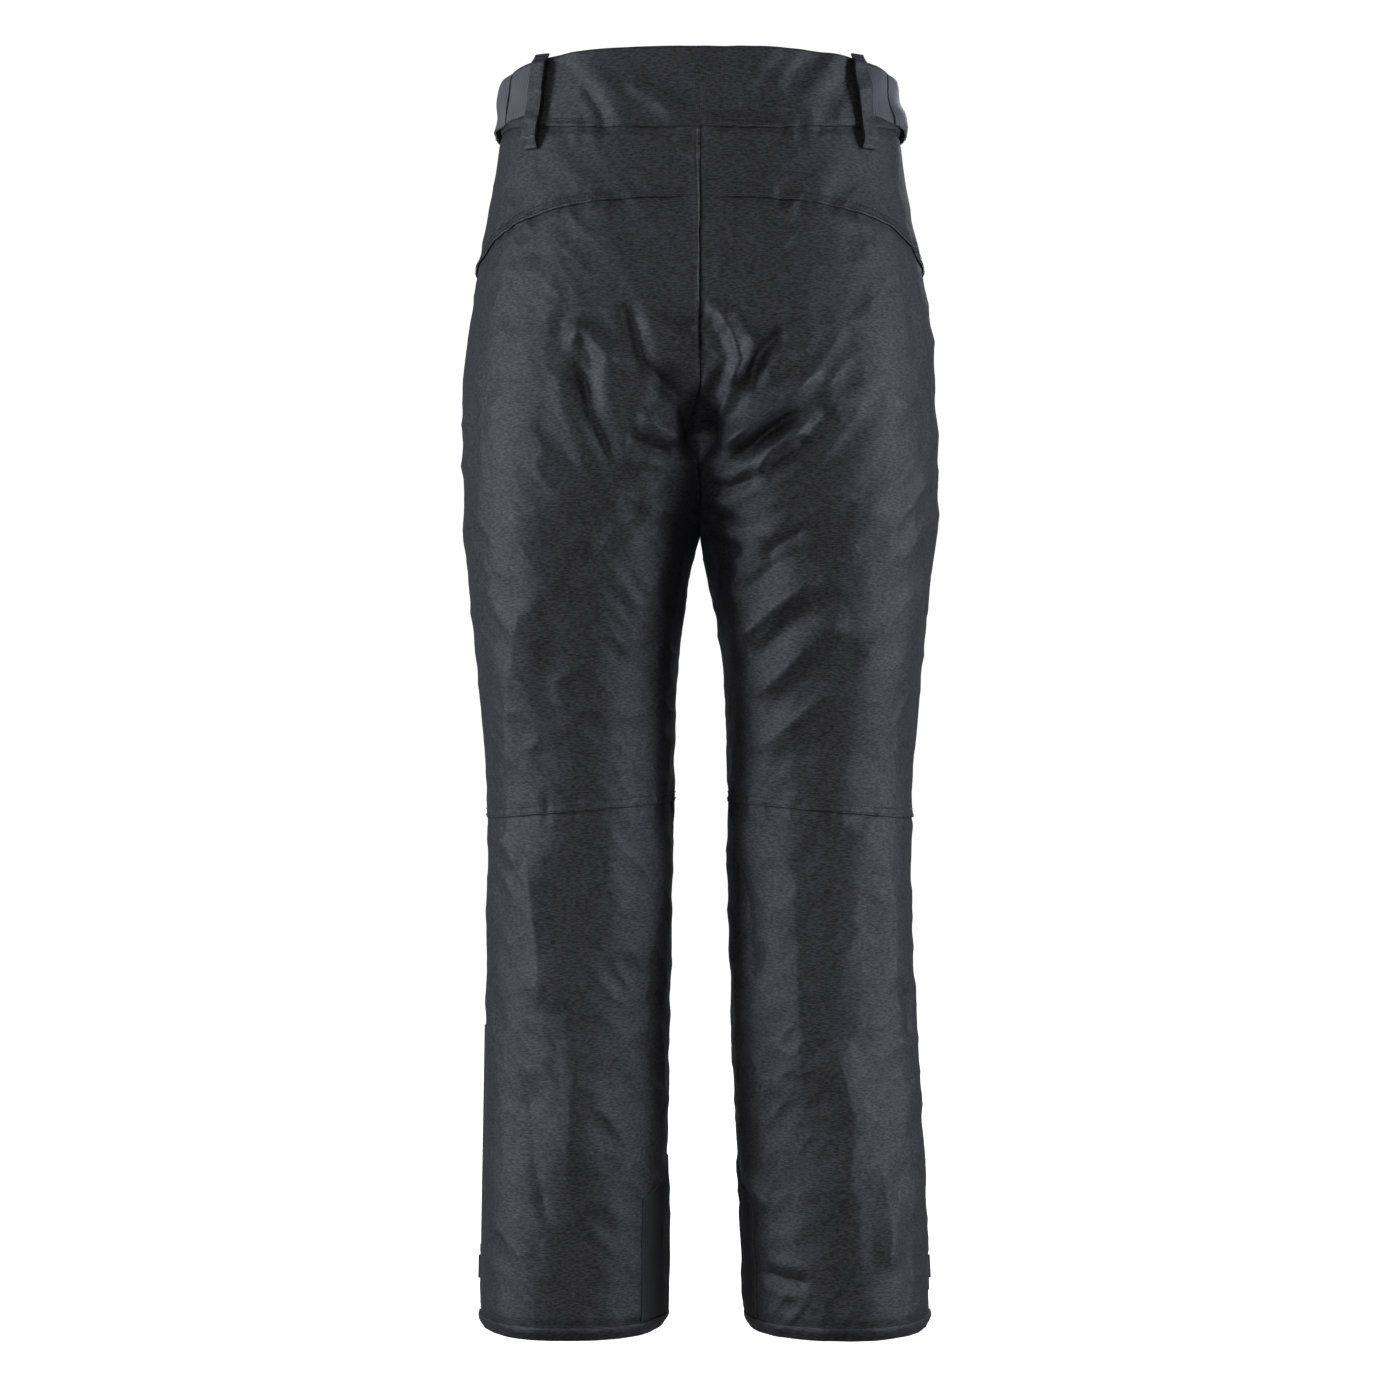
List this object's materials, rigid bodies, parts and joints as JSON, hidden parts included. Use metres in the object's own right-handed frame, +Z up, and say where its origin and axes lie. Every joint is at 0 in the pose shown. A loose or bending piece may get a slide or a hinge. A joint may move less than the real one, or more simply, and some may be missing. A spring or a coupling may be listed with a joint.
{
  "type": "ski pants",
  "caption": "Full-length insulated ski trousers with a shaped seat, belt loops, waist adjusters, zipped pockets, hem zips and inner boot gaiters, hanging straight.",
  "frame": {"origin": "middle of the waist opening, level with the side waist edge", "axes": "+Z up along the legs, -Y is the wearer's front, +X is the wearer's left"},
  "size_m": [0.396, 0.2654, 1.05],
  "materials": {
    "shell": "matte",
    "trim": "satin",
    "tough_fabric": "matte",
    "gaiter_fabric": "satin",
    "lining": "satin",
    "zip": "matte",
    "hardware": "satin"
  },
  "bodies": {
    "hips": {"waistband_back": "shell", "left_waistband_front": "shell", "right_waistband_front": "shell", "left_back_yoke": "shell", "right_back_yoke": "shell", "left_seat_panel": "shell", "right_seat_panel": "shell", "left_front_panel": "shell", "right_front_panel": "shell", "hip_lining": "lining", "back_belt_loops": "trim", "front_belt_loops": "trim", "adjuster_anchors": "trim", "adjuster_pads": "trim", "hanger_loops": "trim", "fly_zip": "zip", "fly_guard": "lining", "snap_studs": "hardware", "pocket_zips": "zip", "pocket_bags": "lining"},
    "left_thigh": {"left_hip_fold": "shell", "left_back_thigh": "shell", "left_front_thigh": "shell", "left_thigh_lining": "lining"},
    "left_shank": {"left_knee_fold": "shell", "left_back_calf": "shell", "left_front_shin": "shell", "left_kick_patch": "tough_fabric", "left_hem_band": "trim", "left_gaiter": "gaiter_fabric", "left_hem_zip": "zip", "left_shin_lining": "lining"},
    "right_thigh": {"right_hip_fold": "shell", "right_back_thigh": "shell", "right_front_thigh": "shell", "right_thigh_lining": "lining"},
    "right_shank": {"right_knee_fold": "shell", "right_back_calf": "shell", "right_front_shin": "shell", "right_kick_patch": "tough_fabric", "right_hem_band": "trim", "right_gaiter": "gaiter_fabric", "right_hem_zip": "zip", "right_shin_lining": "lining"},
    "fly_slider": {"fly_slider": "hardware"},
    "fly_pull": {"fly_pull": "hardware"},
    "left_pocket_slider": {"left_pocket_slider": "hardware"},
    "left_pocket_pull": {"left_pocket_pull": "hardware"},
    "left_hem_slider": {"left_hem_slider": "hardware"},
    "left_hem_pull": {"left_hem_pull": "hardware"},
    "right_pocket_slider": {"right_pocket_slider": "hardware"},
    "right_pocket_pull": {"right_pocket_pull": "hardware"},
    "right_hem_slider": {"right_hem_slider": "hardware"},
    "right_hem_pull": {"right_hem_pull": "hardware"},
    "left_adjuster": {"left_adjuster_tab": "trim"},
    "right_adjuster": {"right_adjuster_tab": "trim"},
    "waist_tab": {"waist_tab": "shell", "snap_caps": "hardware"}
  },
  "joints": [
    {"name": "left_hip", "type": "hinge", "parent": "hips", "child": "left_thigh", "pos_m": [0.1, -0.01, -0.28], "axis": [-1, 0, 0], "range_deg": [-15, 80], "deforming": ["left_hip_fold"]},
    {"name": "left_knee", "type": "hinge", "parent": "left_thigh", "child": "left_shank", "pos_m": [0.1, 0.024, -0.68], "axis": [1, 0, 0], "range_deg": [0, 90], "deforming": ["left_knee_fold"]},
    {"name": "right_hip", "type": "hinge", "parent": "hips", "child": "right_thigh", "pos_m": [-0.1, -0.01, -0.28], "axis": [-1, 0, 0], "range_deg": [-15, 80], "deforming": ["right_hip_fold"]},
    {"name": "right_knee", "type": "hinge", "parent": "right_thigh", "child": "right_shank", "pos_m": [-0.1, 0.024, -0.68], "axis": [1, 0, 0], "range_deg": [0, 90], "deforming": ["right_knee_fold"]},
    {"name": "fly_zip_slide", "type": "slide", "parent": "hips", "child": "fly_slider", "axis": [0, -0.0359, -0.9994], "range_m": [0, 0.125]},
    {"name": "fly_pull_swing", "type": "hinge", "parent": "fly_slider", "child": "fly_pull", "pos_m": [0, -0.12072, -0.06824], "axis": [-1, 0, 0], "range_deg": [0, 150]},
    {"name": "left_pocket_zip_slide", "type": "slide", "parent": "hips", "child": "left_pocket_slider", "axis": [0.1377, -0.0761, -0.9875], "range_m": [0, 0.128]},
    {"name": "left_pocket_pull_swing", "type": "hinge", "parent": "left_pocket_slider", "child": "left_pocket_pull", "pos_m": [0.16487, -0.06118, -0.07964], "axis": [-0.621, -0.7834, -0.0262], "range_deg": [0, 150]},
    {"name": "left_hem_zip_slide", "type": "slide", "parent": "left_shank", "child": "left_hem_slider", "axis": [-0.0176, 0.0041, 0.9998], "range_m": [0, 0.176]},
    {"name": "left_hem_pull_swing", "type": "hinge", "parent": "left_hem_slider", "child": "left_hem_pull", "pos_m": [0.18426, -0.03587, -0.97933], "axis": [-0.3697, -0.9292, -0.0027], "range_deg": [0, 120]},
    {"name": "right_pocket_zip_slide", "type": "slide", "parent": "hips", "child": "right_pocket_slider", "axis": [-0.1377, -0.0761, -0.9875], "range_m": [0, 0.128]},
    {"name": "right_pocket_pull_swing", "type": "hinge", "parent": "right_pocket_slider", "child": "right_pocket_pull", "pos_m": [-0.16487, -0.06118, -0.07964], "axis": [-0.621, 0.7834, 0.0262], "range_deg": [0, 150]},
    {"name": "right_hem_zip_slide", "type": "slide", "parent": "right_shank", "child": "right_hem_slider", "axis": [0.0463, 0.0041, 0.9989], "range_m": [0, 0.176]},
    {"name": "right_hem_pull_swing", "type": "hinge", "parent": "right_hem_slider", "child": "right_hem_pull", "pos_m": [-0.19125, -0.03587, -0.97925], "axis": [-0.3696, 0.9291, 0.0133], "range_deg": [0, 120]},
    {"name": "left_adjuster_peel", "type": "hinge", "parent": "hips", "child": "left_adjuster", "pos_m": [0.15801, 0.04434, -0.023], "axis": [-0.1547, -0.0417, 0.9871], "range_deg": [0, 80]},
    {"name": "right_adjuster_peel", "type": "hinge", "parent": "hips", "child": "right_adjuster", "pos_m": [-0.15801, 0.04434, -0.023], "axis": [-0.1547, 0.0417, -0.9871], "range_deg": [0, 80]},
    {"name": "waist_tab_peel", "type": "hinge", "parent": "hips", "child": "waist_tab", "pos_m": [0.05872, -0.11409, -0.03], "axis": [-0.0589, 0.0772, 0.9953], "range_deg": [0, 100]}
  ]
}
